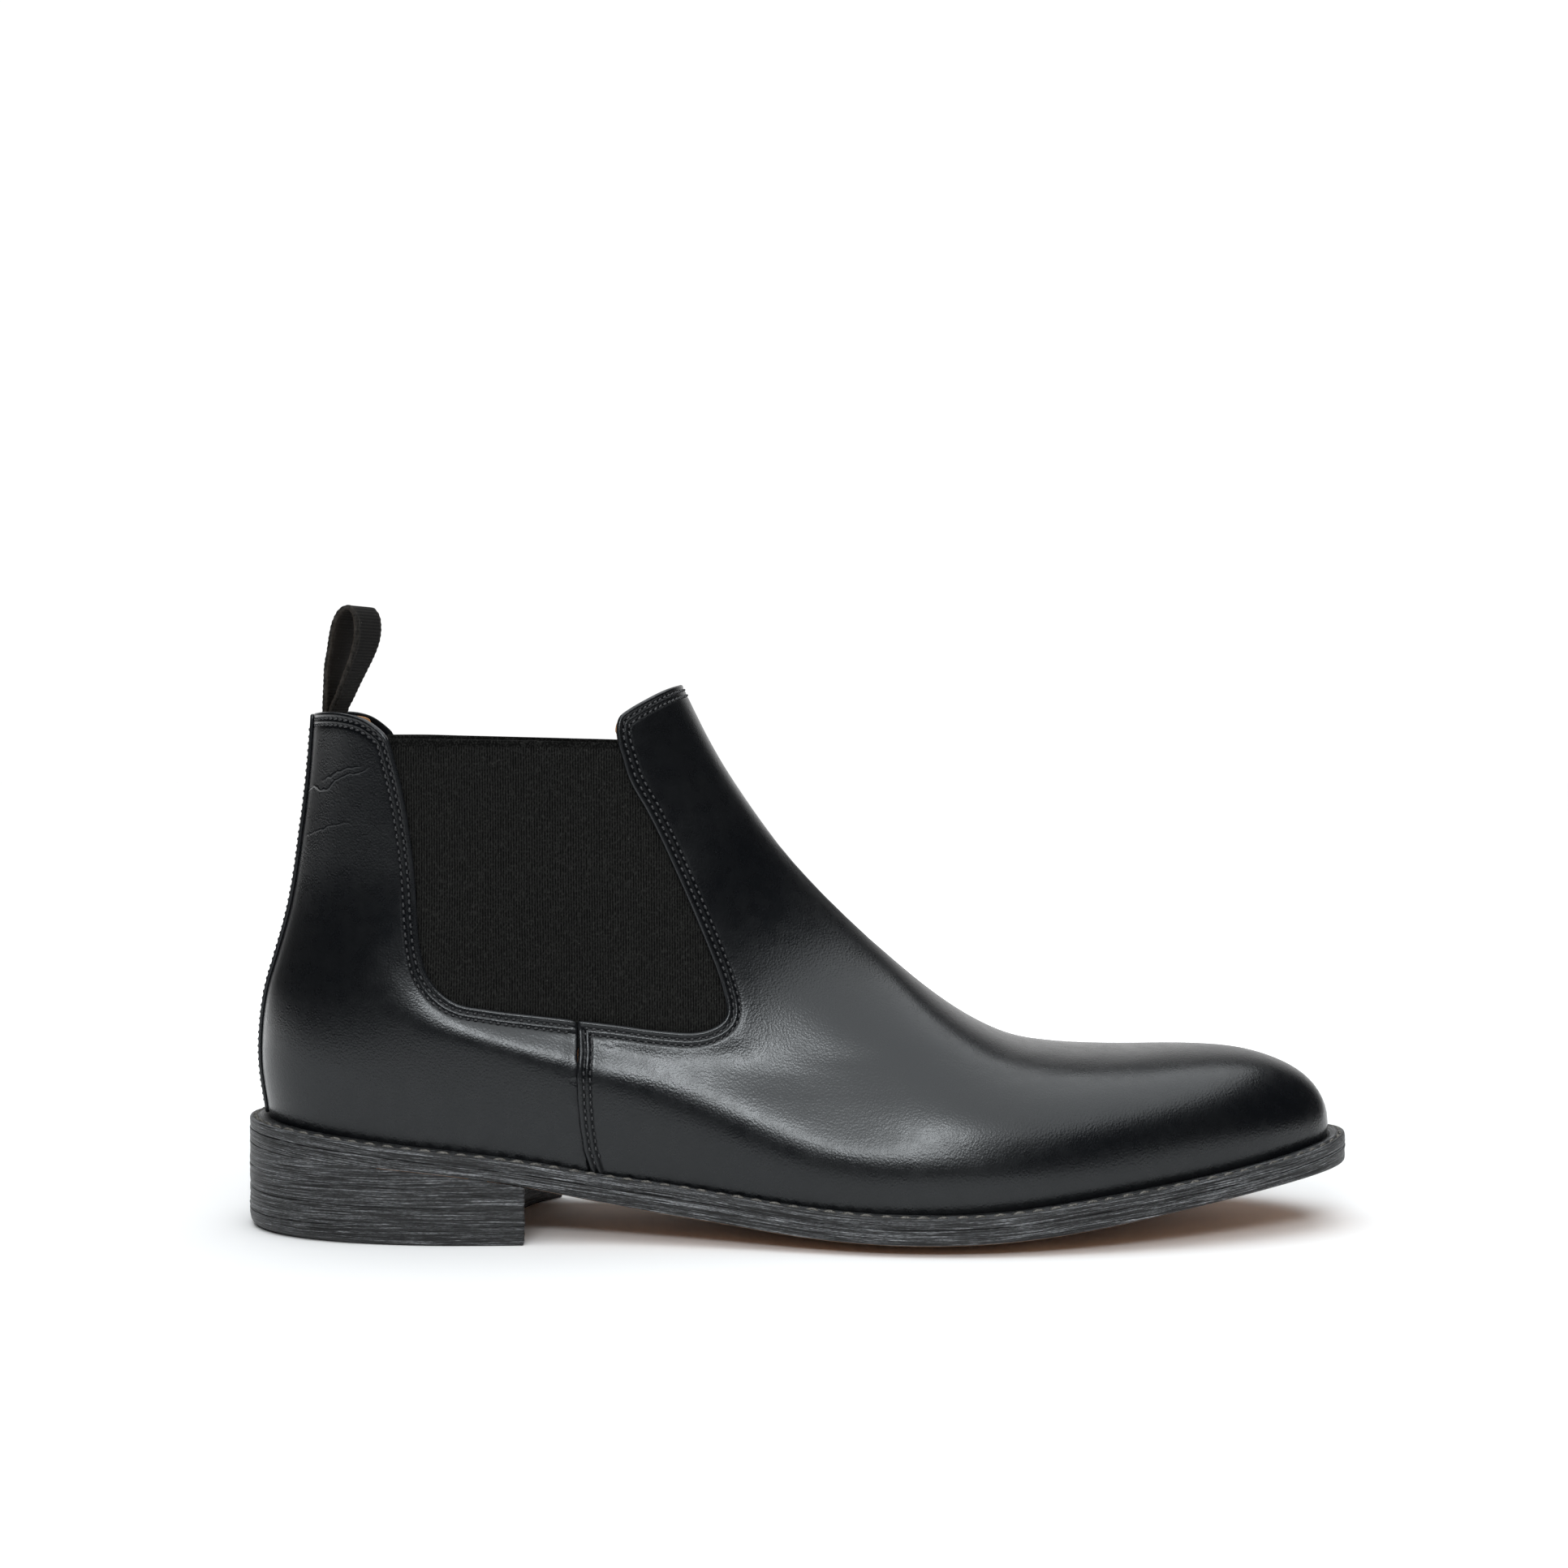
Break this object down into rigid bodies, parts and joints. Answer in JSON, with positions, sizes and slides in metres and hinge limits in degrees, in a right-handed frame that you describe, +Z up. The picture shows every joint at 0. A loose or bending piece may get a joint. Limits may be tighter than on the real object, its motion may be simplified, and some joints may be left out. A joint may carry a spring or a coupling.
{
  "type": "chelsea boot",
  "caption": "Right-foot ankle boot with elastic side panels, a webbing pull loop, a welted leather sole and a stacked heel.",
  "frame": {"origin": "middle of the bounding box in plan, at floor level", "axes": "+X from heel to toe, -Y to the lateral (outer) side, +Z up"},
  "size_m": [0.305, 0.106, 0.1703],
  "materials": {
    "upper_leather": "polished black calf",
    "lining_leather": "smooth tan",
    "elastic": "ribbed black elastic",
    "webbing": "ribbed black webbing",
    "nail": "plain",
    "stacked_leather": "burnished dark edge",
    "top_piece": "matte",
    "stiffener": "raw",
    "insole_leather": "raw",
    "sole_leather": "natural tan",
    "cork": "cork",
    "shank_steel": "plain"
  },
  "bodies": {
    "boot": {"back_strip": "upper_leather", "cork_filler": "cork", "gore_lateral": "elastic", "gore_medial": "elastic", "heel_counter": "stiffener", "heel_lift_1": "stacked_leather", "heel_lift_2": "stacked_leather", "heel_lift_3": "stacked_leather", "heel_nail_1": "nail", "heel_nail_2": "nail", "heel_nail_3": "nail", "heel_nail_4": "nail", "heel_nail_5": "nail", "heel_top_piece": "top_piece", "insole": "insole_leather", "outsole": "sole_leather", "pull_loop_tails": "webbing", "quarter_lateral": "upper_leather", "quarter_lining_lateral": "lining_leather", "quarter_lining_medial": "lining_leather", "quarter_medial": "upper_leather", "shank": "shank_steel", "sock_lining": "lining_leather", "toe_puff": "stiffener", "vamp": "upper_leather", "vamp_lining": "lining_leather", "welt": "stacked_leather"},
    "shaft_front": {"vamp_shaft": "upper_leather", "vamp_shaft_lining": "lining_leather"},
    "loop": {"pull_loop": "webbing"}
  },
  "joints": [
    {"name": "shaft_open", "type": "hinge", "parent": "boot", "child": "shaft_front", "pos_m": [0.01711, 0, 0.08105], "axis": [0, 1, 0], "range_deg": [0, 10], "stiffness_Nm_per_rad": 5, "deforming": ["gore_lateral", "gore_medial"]},
    {"name": "loop_swing", "type": "hinge", "parent": "boot", "child": "loop", "pos_m": [-0.12923, 0, 0.142], "axis": [0, 1, 0], "range_deg": [-35, 50], "stiffness_Nm_per_rad": 0.02}
  ]
}
